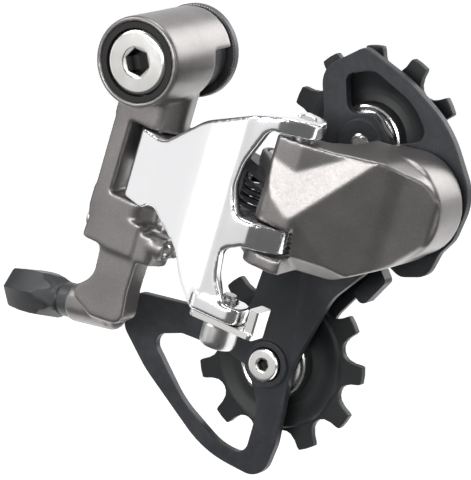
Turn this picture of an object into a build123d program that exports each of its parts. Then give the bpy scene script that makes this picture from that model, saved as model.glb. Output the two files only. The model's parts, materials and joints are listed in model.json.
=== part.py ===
from build123d import *
import os
from math import asin, cos, degrees, pi, radians, sin, sqrt, tan

# Rear derailleur with a short cage, seen from the drive side.
# +X points forward, +Y towards the wheel and +Z up. The origin is on the mounting axis,
# in the plane where the mounting bolt's shoulder seats on the frame's hanger.

# ---- Clearances ----
RUN_FIT = 0.04  # radial room of a pin or shaft in its bore
SEAT_FIT = 0.05  # room round a piece that is only seated
SIDE_GAP = 0.35  # between flat faces that move past each other
BODY_GAP = 0.6  # between curved bodies that move past each other

# ---- Mounting axis ----
THREAD_R = 5.0  # M10 x 1 thread in the hanger
THREAD_LENGTH = 9.5
SHANK_R = 5.9
HEAD_R = 8.9
HEAD_DEPTH = 3.0
HEX_KEY = 5.0
BARREL_R = 12.1
BARREL_LENGTH = 29.4
BARREL_START = -4.6  # inboard end of the barrel
BARREL_WALL = 1.9
WEB_DEPTH = 4.4
BUSH_WALL = 1.2
STOPPER_R = 12.4
STOPPER_DEPTH = 2.6
LUG = (-15.0, 2.4)  # stop lug and its screw, X and Z
LUG_END = 3.4
CLIP_DEPTH = 1.0

# ---- Parallelogram ----
SLANT = 18.0  # lean of the four link pins, in degrees
PIN_R = 2.2
OUTER_B = (3.0, -14.0)  # outer link's pin in the upper knuckle, along the link and across
OUTER_P = (48.0, -26.0)  # outer link's pin in the lower knuckle
INNER_STEP = (-11.0, 11.0)  # from each outer pin to its inner pin
EYE_TOP = -19.8  # top of the links' eyes at the upper knuckle
EYE_BOTTOM = -39.4
EYE_R = 5.4
LOBE_R = 5.4
FLANGE_TOP = 2.8
FLANGE_DEPTH = 4.6
LOWER_FLANGE_TOP = -26.6
LOWER_FLANGE_DEPTH = 7.2
INNER_EYE_R = 4.2
INNER_PLATE = 3.0
EAR_DEPTH = 4.0

# ---- Cage ----
CAGE_X = 62.3
CAGE_Z = -36.5
KNUCKLE_R = 14.0
KNUCKLE_END = 3.0
KNUCKLE_LENGTH = 19.0
PLATE_START = 4.2
OUTER_PLATE = 2.8
INNER_PLATE_DEPTH = 1.8
GUARD_DEPTH = 2.4  # how far the inner plate's bent ear stands in
CAGE_ROOM = 10.4  # between the two plates
GUIDE_X = 45.6
GUIDE_Z = -22.4
TENSION_X = 17.7
TENSION_Z = -83.2
PULLEY_BOLT_R = 2.5
BOSS_R = 6.3
AXLE_R = 4.0
STOP_PIN_R = 1.7
STOP_PIN_AWAY = 17.7  # from the cage's axis
STOP_ANGLE = -132.0  # place of the stop pin round the cage's axis, from +X towards +Z

# ---- Pulleys ----
TEETH = 11
GUIDE_TURN = -7.6  # place of a tooth gap, in degrees
TENSION_TURN = -10.6
CHAIN_PITCH = 12.7
ROLLER_R = 3.96
TIP_R = 24.8
TOOTH_WIDTH = 2.4
RIM_WIDTH = 4.4
HUB_R = 9.2
CAP_R = 9.8
CAP_DEPTH = 0.8
CAP_GAP = 0.15  # between a cap and the cage plate
HUB_ROOM = 0.25  # between the hub and a cap
BUSH_R = 4.4

# ---- Cable side ----
STOP_END = (-17.3, -14.0, -69.3)  # centre of the cable stop's front face
STOP_YAW = 13.35  # the housing leaves backwards, towards the wheel and slightly up
STOP_PITCH = 3.6
STOP_R = 5.3
STOP_LENGTH = 15.0
ADJUSTER_R = 2.5
HOUSING_R = 3.05
HOUSING_DEPTH = 8.0
GRIP_LENGTH = 19.2
GRIP_R = 6.6
CLAMP_AT = (43.1, -30.2)
ARM_END = -54.5
CLAMP_BOLT_R = 2.5
CLAMP_HEAD_R = 4.8

# ---- Worked out from the sizes above ----
INNER_B = (OUTER_B[0] + INNER_STEP[0], OUTER_B[1] + INNER_STEP[1])
INNER_P = (OUTER_P[0] + INNER_STEP[0], OUTER_P[1] + INNER_STEP[1])
BARREL_END = BARREL_START - BARREL_LENGTH
HEAD_TOP = BARREL_END + 0.4
HEAD_BASE = HEAD_TOP + HEAD_DEPTH
WEB_START = HEAD_BASE + 0.2
WEB_END = WEB_START + WEB_DEPTH
CAVITY_R = BARREL_R - BARREL_WALL
B_BUSH_R = SHANK_R + RUN_FIT + BUSH_WALL
CLIP_START = -CLIP_DEPTH - 0.2
STOPPER_START = CLIP_START - STOPPER_DEPTH - 0.1
SCREW_Y = (STOPPER_START + LUG_END) / 2
PLATE_END = PLATE_START + OUTER_PLATE
INNER_PLATE_START = PLATE_END + CAGE_ROOM
INNER_PLATE_END = INNER_PLATE_START + INNER_PLATE_DEPTH
PULLEY_MIDDLE = PLATE_END + CAGE_ROOM / 2
HUB_WIDTH = CAGE_ROOM - 2 * (CAP_GAP + CAP_DEPTH + HUB_ROOM)
ARM_BACK = -9.0
ARM_FRONT = OUTER_B[0] - EYE_R - BODY_GAP - 0.7
EAR_TOP = EYE_TOP + SIDE_GAP
EAR_BOTTOM = EYE_BOTTOM - SIDE_GAP
FLANGE_BOTTOM = FLANGE_TOP - FLANGE_DEPTH
LOWER_FLANGE_BOTTOM = LOWER_FLANGE_TOP - LOWER_FLANGE_DEPTH
KNUCKLE_TOP = FLANGE_BOTTOM - BODY_GAP - 1.0
LOWER_EAR_TOP = LOWER_FLANGE_BOTTOM - SIDE_GAP - 0.15
LOWER_EAR_BOTTOM = LOWER_EAR_TOP - EAR_DEPTH
INNER_LOW = LOWER_EAR_TOP + SIDE_GAP
INNER_HIGH = -17.0

UP = (Align.CENTER, Align.CENTER, Align.MIN)
PINS = Plane(
    origin=(0, 0, 0),
    x_dir=(cos(radians(SLANT)), 0, -sin(radians(SLANT))),
    z_dir=(sin(radians(SLANT)), 0, cos(radians(SLANT))),
)
SIDE = Plane(origin=(0, 0, 0), x_dir=PINS.x_dir, z_dir=(0, -1, 0))
STOP_FRAME = Plane(
    origin=STOP_END,
    z_dir=(
        -cos(radians(STOP_PITCH)) * cos(radians(STOP_YAW)),
        cos(radians(STOP_PITCH)) * sin(radians(STOP_YAW)),
        sin(radians(STOP_PITCH)),
    ),
)


def round_y(radius, start, end, x=0.0, z=0.0):
    """Cylinder about an axis along Y, from start to end."""
    frame = Plane(origin=(x, start, z), x_dir=(1, 0, 0), z_dir=(0, 1, 0))
    return frame * Cylinder(radius, end - start, align=UP)


def ring_y(outer, inner, start, end, x=0.0, z=0.0):
    """Ring about an axis along Y."""
    return round_y(outer, start, end, x, z) - round_y(inner, start - 1, end + 1, x, z)


def hex_y(across, start, end, x=0.0, z=0.0):
    """Hexagonal prism along Y, given its size across the flats."""
    frame = Plane(origin=(x, start, z), x_dir=(1, 0, 0), z_dir=(0, 1, 0))
    return frame * extrude(RegularPolygon(across / 2, 6, major_radius=False), end - start)


def corner_radius(before, corner, after):
    """The corner's radius, or the largest that its two sides have room for."""
    back = Vector(before[0] - corner[0], before[1] - corner[1])
    on = Vector(after[0] - corner[0], after[1] - corner[1])
    turn = radians(180 - back.get_angle(on))
    return min(corner[2], 0.48 * min(back.length, on.length) / tan(turn / 2))


def outline(corners):
    """Face inside a closed outline of (x, y, corner radius)."""
    points = [(x, y) for x, y, _ in corners]
    ring = [corners[-1], *corners, corners[0]]
    radii = [corner_radius(*ring[i : i + 3]) for i in range(len(corners))]
    return make_face(FilletPolyline(*points, radius=radii, close=True).edges())


def plate_y(corners, start, end):
    """Flat plate across Y, its outline given in X and Z."""
    frame = Plane(origin=(0, end, 0), x_dir=(1, 0, 0), z_dir=(0, -1, 0))
    return frame * extrude(outline(corners), end - start)


def slab(corners, bottom, top):
    """Slab across the link pins, its outline given along the link and across it."""
    return PINS * Pos(0, 0, bottom) * extrude(outline(corners), top - bottom)


def profile(corners, outboard, inboard):
    """Prism across the drivetrain, its outline given along the link and up the pins."""
    shape = SIDE * extrude(outline(corners), inboard - outboard)
    return Pos(0, inboard, 0) * shape


def post(radius, at, bottom, top):
    """Cylinder along the link pins."""
    return PINS * Pos(at[0], at[1], bottom) * Cylinder(radius, top - bottom, align=UP)


def strap(first, second, r_first, r_second, bottom, top):
    """Slab with round ends about two pin centres."""
    a = Pos(*first) * Circle(r_first)
    b = Pos(*second) * Circle(r_second)
    return PINS * Pos(0, 0, bottom) * extrude(make_hull((a + b).edges()), top - bottom)


def coil(radius, wire, pitch, turns):
    """Helical spring wire about Z, starting at z = 0."""
    path = Helix(pitch=pitch, height=pitch * turns, radius=radius)
    section = Plane(origin=path @ 0, z_dir=path % 0) * Circle(wire / 2)
    return sweep(section, path=path, is_frenet=True)


# ---- Mounting axis ----
def mounting_bolt():
    """Hollow-head bolt that holds the derailleur on the hanger and is its upper pivot."""
    head = round_y(HEAD_R, HEAD_TOP, HEAD_BASE)
    head = chamfer(head.edges().group_by(Axis.Y)[0], 0.5)
    shank = round_y(SHANK_R, HEAD_BASE, 0)
    thread = round_y(THREAD_R, 0, THREAD_LENGTH)
    thread = chamfer(thread.edges().group_by(Axis.Y)[-1], 0.7)
    body = head + shank + thread
    body -= hex_y(HEX_KEY, HEAD_TOP - 1, HEAD_TOP + 5.5)
    body -= round_y(HEX_KEY * 0.62, HEAD_TOP - 1, HEAD_TOP + 0.9)
    body -= ring_y(SHANK_R + 1, SHANK_R - 0.7, CLIP_START, CLIP_START + CLIP_DEPTH)
    return body


def snap_ring():
    """Open retaining ring in the shank's groove."""
    ring = ring_y(SHANK_R + 1.4, SHANK_R - 0.65, CLIP_START + 0.03, CLIP_START + CLIP_DEPTH - 0.03)
    return ring - Pos(0, CLIP_START, -SHANK_R) * Box(5, 4, 6)


def stopper_plate():
    """Steel plate that turns on the shank and bears on the hanger's stop by its lug."""
    top = STOPPER_START + STOPPER_DEPTH
    disc = round_y(STOPPER_R, STOPPER_START, top)
    disc = chamfer(disc.edges(), 0.4)
    lug = Pos(LUG[0], SCREW_Y, LUG[1]) * Box(7.0, LUG_END - STOPPER_START, 7.4)
    lug = fillet(lug.edges().filter_by(Axis.Y), 1.2)
    plate = disc + lug - round_y(SHANK_R + RUN_FIT, STOPPER_START - 1, 5)
    return plate - Pos(LUG[0], SCREW_Y, LUG[1]) * Rot(0, 90, 0) * Cylinder(2.0 + RUN_FIT, 20)



def set_screw(length, thread_r, head_r, head_depth):
    """Cross-slotted screw along +Z, its head's outer face at z = 0."""
    head = Cylinder(head_r, head_depth, align=UP)
    head = chamfer(head.edges().group_by(Axis.Z)[0], 0.4)
    body = head + Pos(0, 0, head_depth) * Cylinder(thread_r, length - head_depth, align=UP)
    body = chamfer(body.edges().group_by(Axis.Z)[-1], 0.5)
    for turn in (0, 90):
        body -= Rot(0, 0, turn) * Box(head_r * 1.5, 0.8, 2.4)
    return body


def b_tension_screw():
    """Screw in the stopper plate's lug that sets how far the derailleur hangs back."""
    frame = Plane(origin=(LUG[0] - 7.0, SCREW_Y, LUG[1]), z_dir=(1, 0, 0))
    return frame * set_screw(12.5, 2.0, 2.8, 2.2)


def b_bushing():
    """Flanged bush in the barrel's web."""
    inner = SHANK_R + RUN_FIT
    return ring_y(B_BUSH_R, inner, WEB_START, WEB_END) + ring_y(
        B_BUSH_R + 1.0, inner, WEB_END, WEB_END + 0.8
    )


def b_inner_cover():
    """Black cup that closes the barrel's inboard end round the spring."""
    outer = CAVITY_R - SEAT_FIT
    disc = ring_y(outer, SHANK_R + BODY_GAP, BARREL_START - 2.4, BARREL_START - 0.1)
    return disc + ring_y(outer, outer - 0.9, BARREL_START - 12.0, BARREL_START - 2.4)


def b_spring():
    """Torsion spring inside the barrel."""
    turns = 6
    pitch = 1.75
    frame = Plane(origin=(0, WEB_END + 2.4, 0), x_dir=(1, 0, 0), z_dir=(0, 1, 0))
    return frame * coil(8.0, 1.5, pitch, turns)


def b_seal_ring():
    """Rubber ring round the mounting bolt's head."""
    return ring_y(HEAD_R + 1.6, HEAD_R + 0.1, HEAD_TOP + 0.1, HEAD_TOP + 1.9)


def beyond(point, normal, size=120.0):
    """Everything on the far side of a plane, given along the link, across and up the pins."""
    return PINS * Plane(origin=point, z_dir=normal) * Box(size, size, size, align=UP)


# ---- Upper knuckle ----
def pin_block(bottom, top):
    """Block round both link pins of the upper knuckle."""
    u0, v0 = OUTER_B
    u1, v1 = INNER_B
    corners = [
        (ARM_BACK, v0 - 6.2, 1.5),
        (u0 + 1.5, v0 - 6.2, 5.0),
        (u0 + 6.2, v0 - 1.0, 4.0),
        (u0 + 5.0, v0 + 5.0, 3.0),
        (u1 + 5.0, v1 + 5.0, 3.5),
        (u1 - 5.0, v1 + 5.0, 4.0),
        (u1 - 5.0, v1 - 5.0, 3.0),
    ]
    return slab(corners, bottom, top)


def limit_screw_places():
    """Rear ends of the two limit screws, along the link, across and up the pins."""
    height = EAR_BOTTOM - 9.6
    back = ARM_BACK - 0.3
    return [(back, OUTER_B[1] - 2.4, height), (back, OUTER_B[1] + 3.4, height)]


def upper_knuckle():
    """Barrel, link ears, rear arm and cable stop in one forging."""
    u0, v0 = OUTER_B
    barrel = round_y(BARREL_R, BARREL_END, BARREL_START)
    barrel = fillet(barrel.edges().group_by(Axis.Y)[0], 0.9)
    notch = Pos(BARREL_R + 1, BARREL_START, 1.6 - BARREL_R) * Box(
        2 * BARREL_R, 16, 2 * BARREL_R, align=(Align.CENTER, Align.CENTER, Align.CENTER)
    )
    barrel -= fillet(notch.edges().filter_by(Axis.Z), 4.0)
    block = pin_block(EAR_TOP, -7.0)
    arm = slab(
        [
            (ARM_BACK, v0 - 6.2, 1.2),
            (ARM_FRONT, v0 - 6.2, 0.8),
            (ARM_FRONT, v0 + 5.4, 0.8),
            (ARM_BACK, v0 + 5.4, 1.2),
        ],
        EAR_BOTTOM - 8,
        -9.0,
    )
    lower = pin_block(EAR_BOTTOM - 6.0, EAR_BOTTOM)
    housing = slab(
        [
            (ARM_BACK, v0 - 6.2, 2.0),
            (u0 + 5.0, v0 - 6.2, 2.5),
            (u0 + 7.0, v0 + 2.0, 2.5),
            (u0 + 3.0, v0 + 6.6, 2.5),
            (ARM_BACK, v0 + 6.6, 2.0),
        ],
        EAR_BOTTOM - 14.5,
        EAR_BOTTOM - 5.0,
    )
    drop = profile(
        [
            (-8.6, EAR_BOTTOM - 3.0, 1.0),
            (9.0, EAR_BOTTOM - 10.0, 2.0),
            (8.6, -64.0, 2.0),
            (9.6, -73.0, 3.0),
            (0.0, -74.0, 2.0),
            (-9.0, -70.0, 3.0),
            (-2.4, -63.5, 6.0),
            (-2.8, -56.0, 6.0),
        ],
        v0 - 5.6,
        v0 + 2.6,
    )
    foot = slab(
        [
            (ARM_BACK + 6.0, v0 - 6.0, 2.0),
            (u0 + 9.0, v0 - 5.6, 3.0),
            (u0 + 11.4, v0 + 1.0, 3.0),
            (u0 + 8.0, v0 + 6.4, 3.0),
            (ARM_BACK + 6.0, v0 + 6.4, 2.0),
        ],
        EAR_BOTTOM - 15.2,
        EAR_BOTTOM - 7.0,
    )
    boss = STOP_FRAME * Cylinder(STOP_R, STOP_LENGTH, align=UP)
    boss = fillet(boss.edges().group_by(Axis.X)[-1], 1.2)
    body = barrel + block + arm + lower + housing + foot + drop + boss
    for u, v, w in limit_screw_places():
        nose = PINS * Plane(origin=(u + 6, v, w), z_dir=(1, 0, 0))
        body += nose * Cylinder(3.3, 18.5, align=UP)
        body -= nose * Pos(0, 0, -20) * Cylinder(1.6 + RUN_FIT, 60, align=UP)
        body -= PINS * Plane(origin=(u - 4, v, w), z_dir=(1, 0, 0)) * Cylinder(3.1, 5.9, align=UP)
    for at in (OUTER_B, INNER_B):
        body -= post(PIN_R, at, EAR_BOTTOM - 4.6, -11.6)
    body -= round_y(CAVITY_R, WEB_END, 8)
    body -= round_y(B_BUSH_R, WEB_START - 1, WEB_END + 1)
    body -= round_y(HEAD_R + 1.65, BARREL_END - 1, WEB_START)
    body -= round_y(STOPPER_R + BODY_GAP, BARREL_START, 8)
    stop_bore = STOP_FRAME * Pos(0, 0, 3) * Cylinder(ADJUSTER_R + RUN_FIT, STOP_LENGTH, align=UP)
    body -= stop_bore
    body -= STOP_FRAME * Pos(0, 0, -1) * Cylinder(2.2, 6, align=UP)
    return body




def link_pins(places, bottom, top):
    """Plain hardened pins, one solid each."""
    return [chamfer(p.edges(), 0.3) for p in (post(PIN_R, at, bottom, top) for at in places)]


def limit_screw(index):
    """Screw whose tip stops the parallelogram at one end of its travel."""
    u, v, w = limit_screw_places()[index]
    frame = PINS * Plane(origin=(u, v, w), z_dir=(1, 0, 0))
    return frame * set_screw(24.8, 1.6, 2.7, 1.8)


# ---- Barrel adjuster ----
def adjuster_bolt():
    """Hollow threaded bolt that the cable housing pushes on."""
    start = 4.5
    bolt = Pos(0, 0, start) * Cylinder(ADJUSTER_R, STOP_LENGTH + 12 - start, align=UP)
    bolt = chamfer(bolt.edges(), 0.3)
    return STOP_FRAME * (bolt - Cylinder(1.0, 80))


def adjuster_ring():
    """Detent ring between the cable stop and the grip."""
    ring = Pos(0, 0, STOP_LENGTH + 0.1) * Cylinder(4.6, 3.4, align=UP)
    return STOP_FRAME * (ring - Cylinder(ADJUSTER_R + BODY_GAP / 2, 80))


def adjuster_grip():
    """Six-sided black grip over the bolt, with the socket for the cable housing."""
    base = STOP_LENGTH + 3.7
    near = Plane(origin=(0, 0, base)) * RegularPolygon(GRIP_R, 6)
    middle = Plane(origin=(0, 0, base + GRIP_LENGTH * 0.45)) * RegularPolygon(GRIP_R * 0.95, 6)
    far = Plane(origin=(0, 0, base + GRIP_LENGTH)) * RegularPolygon(GRIP_R * 0.8, 6)
    grip = loft([near, middle, far], ruled=True)
    grip = fillet(grip.edges().filter_by(GeomType.LINE).group_by(Axis.Z)[0], 0.7)
    grip -= Pos(0, 0, base - 1) * Cylinder(ADJUSTER_R, STOP_LENGTH + 13 - base, align=UP)
    mouth = base + GRIP_LENGTH - HOUSING_DEPTH
    grip -= Pos(0, 0, mouth) * Cylinder(HOUSING_R, HOUSING_DEPTH + 1, align=UP)
    return STOP_FRAME * (grip - Cylinder(1.2, 120))


# ---- Links ----
def outer_link():
    """Wide polished channel, with two lobes at the cage end and the cable arm below."""
    web = slab(
        [
            (OUTER_B[0] - 4.6, OUTER_B[1] - 1.0, 0.5),
            (OUTER_B[0] - 3.4, OUTER_B[1] - 5.6, 2.0),
            (9.0, -24.0, 12.0),
            (24.0, -31.4, 20.0),
            (38.0, -35.4, 12.0),
            (OUTER_P[0] - 1.5, OUTER_P[1] - 8.4, 5.0),
            (OUTER_P[0] - 3.4, OUTER_P[1] - 5.8, 0.6),
            (38.0, -31.9, 10.0),
            (24.0, -28.0, 20.0),
            (OUTER_B[0] + 7.0, OUTER_B[1] - 5.5, 5.0),
            (OUTER_B[0] + 4.6, OUTER_B[1] - 1.0, 0.5),
        ],
        -60,
        FLANGE_TOP,
    )
    side = profile(
        [
            (-3.4, EYE_TOP, 1.5),
            (9.0, EYE_TOP, 6.0),
            (22.0, -8.0, 12.0),
            (38.0, 0.5, 10.0),
            (46.0, FLANGE_TOP, 3.0),
            (60.0, FLANGE_TOP, 1.0),
            (60.0, FLANGE_BOTTOM, 1.0),
            (42.6, FLANGE_BOTTOM, 3.0),
            (38.2, -13.0, 8.0),
            (37.6, -19.5, 6.0),
            (40.4, LOWER_FLANGE_TOP, 3.0),
            (60.0, LOWER_FLANGE_TOP, 1.0),
            (60.0, LOWER_FLANGE_BOTTOM, 1.0),
            (44.0, LOWER_FLANGE_BOTTOM, 2.0),
            (39.0, -36.5, 3.0),
            (40.0, -44.0, 10.0),
            (44.5, -51.0, 2.0),
            (45.0, ARM_END, 1.0),
            (34.0, ARM_END, 2.0),
            (29.0, -50.0, 6.0),
            (24.0, -42.5, 8.0),
            (11.0, -36.8, 10.0),
            (7.5, EYE_BOTTOM, 1.5),
            (-3.4, EYE_BOTTOM, 1.5),
        ],
        -40,
        -10,
    )
    body = web & side
    body += post(EYE_R, OUTER_B, EYE_BOTTOM, EYE_TOP)
    lobe = [
        (24.0, -30.6, 1.0),
        (38.0, -34.8, 10.0),
        (OUTER_P[0] - 1.5, OUTER_P[1] - 8.0, 4.0),
        (OUTER_P[0] + 5.4, OUTER_P[1] - 2.6, 4.0),
        (OUTER_P[0] + 4.2, OUTER_P[1] + 5.4, 4.0),
        (OUTER_P[0] - 4.6, OUTER_P[1] + 5.2, 4.0),
        (36.0, -28.6, 4.0),
    ]
    body += slab(lobe, FLANGE_BOTTOM, FLANGE_TOP) & side_limit()
    body += slab(lobe, LOWER_FLANGE_BOTTOM, LOWER_FLANGE_TOP)
    anchor = slab(
        [(33.5, -35.6, 2.0), (49.0, -35.6, 4.0), (49.0, -25.4, 4.0), (36.5, -26.0, 3.0)],
        ARM_END,
        ARM_END + 4.6,
    )
    body += anchor
    body -= post(PIN_R + RUN_FIT, OUTER_B, EYE_BOTTOM - 1, EYE_TOP + 1)
    body -= post(PIN_R + RUN_FIT, OUTER_P, LOWER_FLANGE_BOTTOM - 1, FLANGE_TOP + 1)
    body -= post(CLAMP_BOLT_R + RUN_FIT, CLAMP_AT, ARM_END - 1, ARM_END + 9)
    return body


def side_limit():
    """Prism that slopes the upper flange's top towards the upper knuckle."""
    return profile(
        [(22.0, -8.0, 1.0), (38.0, 0.5, 10.0), (46.0, FLANGE_TOP, 3.0), (60.0, FLANGE_TOP, 1.0),
         (60.0, FLANGE_BOTTOM - 1, 1.0), (22.0, FLANGE_BOTTOM - 7, 1.0)],
        -40,
        -10,
    )


def inner_link():
    """Plain plate link behind, forked round the return spring."""
    (u0, v0), (u1, v1) = INNER_B, INNER_P
    half = INNER_PLATE / 2
    bow = 1.4
    web = slab(
        [
            (u0 + 1.0, v0 + bow - half - 0.4, 0.5),
            (u1 - 7.4, v1 + 2.0 + bow - half, 0.5),
            (u1 - 7.4, v1 + 2.0 + bow + half, 0.5),
            (u0 + 1.0, v0 + bow + half - 0.4, 0.5),
        ],
        INNER_LOW,
        EYE_TOP,
    )
    body = web + post(INNER_EYE_R, INNER_B, EYE_BOTTOM, EYE_TOP)
    for bottom, top in ((INNER_LOW, INNER_LOW + 3.4), (INNER_HIGH - 3.4, INNER_HIGH)):
        body += slab(
            [
                (u1 - 12.0, v1 + 3.1 + bow - half, 0.4),
                (u1 - 1.0, v1 - INNER_EYE_R, 1.0),
                (u1 + 1.0, v1 + INNER_EYE_R, 1.0),
                (u1 - 12.0, v1 + 3.2 + bow + half, 0.4),
            ],
            bottom,
            top,
        )
        body += post(INNER_EYE_R, INNER_P, bottom, top)
    body -= post(PIN_R + RUN_FIT, INNER_B, EYE_BOTTOM - 1, EYE_TOP + 1)
    body -= post(PIN_R + RUN_FIT + 0.02, INNER_P, INNER_LOW - 1, INNER_HIGH + 1)
    return body


def return_spring():
    """Torsion spring round the inner link's lower pin."""
    low = INNER_LOW + 3.4 + 1.4
    return PINS * Pos(INNER_P[0], INNER_P[1], low) * coil(5.4, 1.7, 1.95, 4)


def cable_clamp_plate():
    """Bent washer that traps the cable against the arm's end."""
    u, v = CLAMP_AT
    flat = slab(
        [(34.6, v - 4.6, 2.0), (54.0, v - 4.0, 1.5), (54.0, v + 4.0, 1.5), (34.6, v + 4.2, 2.0)],
        ARM_END - 1.7,
        ARM_END - 0.1,
    )
    turned = slab([(51.0, v - 3.4, 0.6), (54.0, v - 3.4, 0.8), (54.0, v + 3.4, 0.8),
                   (51.0, v + 3.4, 0.6)], ARM_END - 1.0, ARM_END + 6.0)
    return flat + turned - post(CLAMP_BOLT_R + SEAT_FIT, CLAMP_AT, ARM_END - 4, ARM_END + 2)


def cable_fixing_bolt():
    """Socket-head bolt under the cable arm."""
    top = ARM_END - 1.8
    head = post(CLAMP_HEAD_R, CLAMP_AT, top - 6.2, top)
    head = chamfer(head.edges(), 0.5)
    body = head + post(CLAMP_BOLT_R, CLAMP_AT, top, ARM_END + 6.4)
    frame = PINS * Pos(CLAMP_AT[0], CLAMP_AT[1], top - 7.2)
    return body - frame * extrude(RegularPolygon(HEX_KEY / 2, 6, major_radius=False), 4.4)


# ---- Lower knuckle ----
def around_cage(angle):
    """X and Z of a point on the stop pin's circle, its angle measured from +X towards +Z."""
    return (
        CAGE_X + STOP_PIN_AWAY * cos(radians(angle)),
        CAGE_Z + STOP_PIN_AWAY * sin(radians(angle)),
    )


def lower_knuckle():
    """Smooth forging from the link pins to the cage's spring barrel."""
    u0, v0 = OUTER_P
    u1, v1 = INNER_P
    side = profile(
        [
            (u0 - 6.2, KNUCKLE_TOP, 1.2),
            (58.0, KNUCKLE_TOP + 0.3, 10.0),
            (70.0, -1.6, 8.0),
            (81.0, -5.0, 8.0),
            (85.0, -18.0, 9.0),
            (77.0, -29.0, 8.0),
            (64.0, -37.2, 6.0),
            (52.0, LOWER_EAR_BOTTOM, 2.0),
            (u0 - 6.2, LOWER_EAR_BOTTOM, 1.2),
        ],
        -36,
        KNUCKLE_END,
    )
    top = slab(
        [
            (u0 - 6.0, v0 + 5.6, 4.0),
            (u0 - 6.0, v0 - 5.6, 5.0),
            (u0 + 5.0, v0 - 5.4, 6.0),
            (74.0, -20.0, 16.0),
            (84.6, -8.0, 6.0),
            (84.6, KNUCKLE_END, 0.5),
            (56.6, KNUCKLE_END, 0.5),
            (56.6, -10.0, 4.0),
            (u0 + 4.0, v0 + 6.4, 4.0),
        ],
        -60,
        20,
    )
    body = side & top
    facet = beyond((u0 - 4.5, v0 - 5.6, -16.9), (0.186, -0.951, 0.2475))
    body -= beyond((u0 - 4.5, v0 - 3.7, -9.6), (0.13, -0.99, 0.0)) & facet
    body -= beyond((u0 + 2.0, v0 - 2.9, -9.6), (0.35, -0.937, 0.0)) & facet
    past_lobes = beyond((u0 + 6.4, 0, 0), (1, 0, 0))
    body -= beyond((u0 + 6.0, v0 - 5.2, -21.0), (0.2, -0.93, -0.3)) & past_lobes
    body -= beyond((u0 + 6.0, v0 - 1.5, -33.0), (0.16, -0.6, -0.78)) & past_lobes
    body += round_y(KNUCKLE_R, KNUCKLE_END - KNUCKLE_LENGTH + 6, KNUCKLE_END, CAGE_X, CAGE_Z)
    room = [
        (20.0, v0 - 20.0, 1.0),
        (u0, v0 - 20.0, 1.0),
        (u0, v0 - LOBE_R - 0.9, 0.1),
        (u0 + LOBE_R + 0.9, v0 - LOBE_R - 0.9, LOBE_R),
        (u0 + LOBE_R + 0.9, v0 + LOBE_R + 0.9, LOBE_R),
        (20.0, v0 + LOBE_R + 0.9, 1.0),
    ]
    body -= slab(room, LOWER_EAR_TOP, LOWER_FLANGE_TOP + SIDE_GAP)
    body -= slab(room, KNUCKLE_TOP + 0.4, FLANGE_TOP + 3)
    body += strap(OUTER_P, INNER_P, 5.0, 4.0, LOWER_EAR_BOTTOM, LOWER_EAR_TOP)
    ear_low = INNER_HIGH + SIDE_GAP
    body += strap((u0, v0 + 1.0), INNER_P, 4.6, 3.9, ear_low, ear_low + EAR_DEPTH)
    for at in (OUTER_P, INNER_P):
        body -= post(PIN_R, at, LOWER_EAR_BOTTOM - 1, FLANGE_TOP + 1)
    end = KNUCKLE_END
    path = STOP_PIN_AWAY - STOP_PIN_R - BODY_GAP
    guide_away = sqrt((CAGE_X - GUIDE_X) ** 2 + (CAGE_Z - GUIDE_Z) ** 2)
    swept = guide_away + PULLEY_BOLT_R + BODY_GAP
    body -= ring_y(swept, path, end - 3.2, end + 2, CAGE_X, CAGE_Z)
    apart = degrees(2 * asin((STOP_PIN_R + 0.15) / STOP_PIN_AWAY))
    body += round_y(STOP_PIN_R, end - 5.0, end, *around_cage(STOP_ANGLE - apart))
    body -= round_y(KNUCKLE_R - 2.6, end - 11.5, end + 1, CAGE_X, CAGE_Z)
    body -= round_y(AXLE_R + BUSH_WALL, end - 15.5, end, CAGE_X, CAGE_Z)
    return body


def p_bushing():
    """Bush for the cage axle in the lower knuckle."""
    end = KNUCKLE_END
    return ring_y(AXLE_R + BUSH_WALL, AXLE_R + RUN_FIT, end - 15.5, end - 10.7, CAGE_X, CAGE_Z)


def p_spring():
    """Cage tension spring in the lower knuckle."""
    frame = Plane(origin=(CAGE_X, KNUCKLE_END - 9.6, CAGE_Z), x_dir=(1, 0, 0), z_dir=(0, 1, 0))
    return frame * coil(8.6, 1.8, 2.1, 4)


def p_seal_ring():
    """Rubber ring between the lower knuckle and the cage."""
    return ring_y(KNUCKLE_R - 0.6, KNUCKLE_R - 2.4, KNUCKLE_END, PLATE_START - 0.2, CAGE_X, CAGE_Z)


def p_axle():
    """Axle riveted in the cage's outer plate."""
    axle = round_y(AXLE_R, KNUCKLE_END - 15.2, PLATE_END, CAGE_X, CAGE_Z)
    flange = round_y(AXLE_R + 3.2, KNUCKLE_END - 1.0, PLATE_START, CAGE_X, CAGE_Z)
    return chamfer(axle.edges(), 0.4) + flange


# ---- Cage ----
def beside(x, z, corners):
    """Corners given from a centre, as X, Z and corner radius."""
    return [(x + across, z + up, radius) for across, up, radius in corners]


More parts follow.
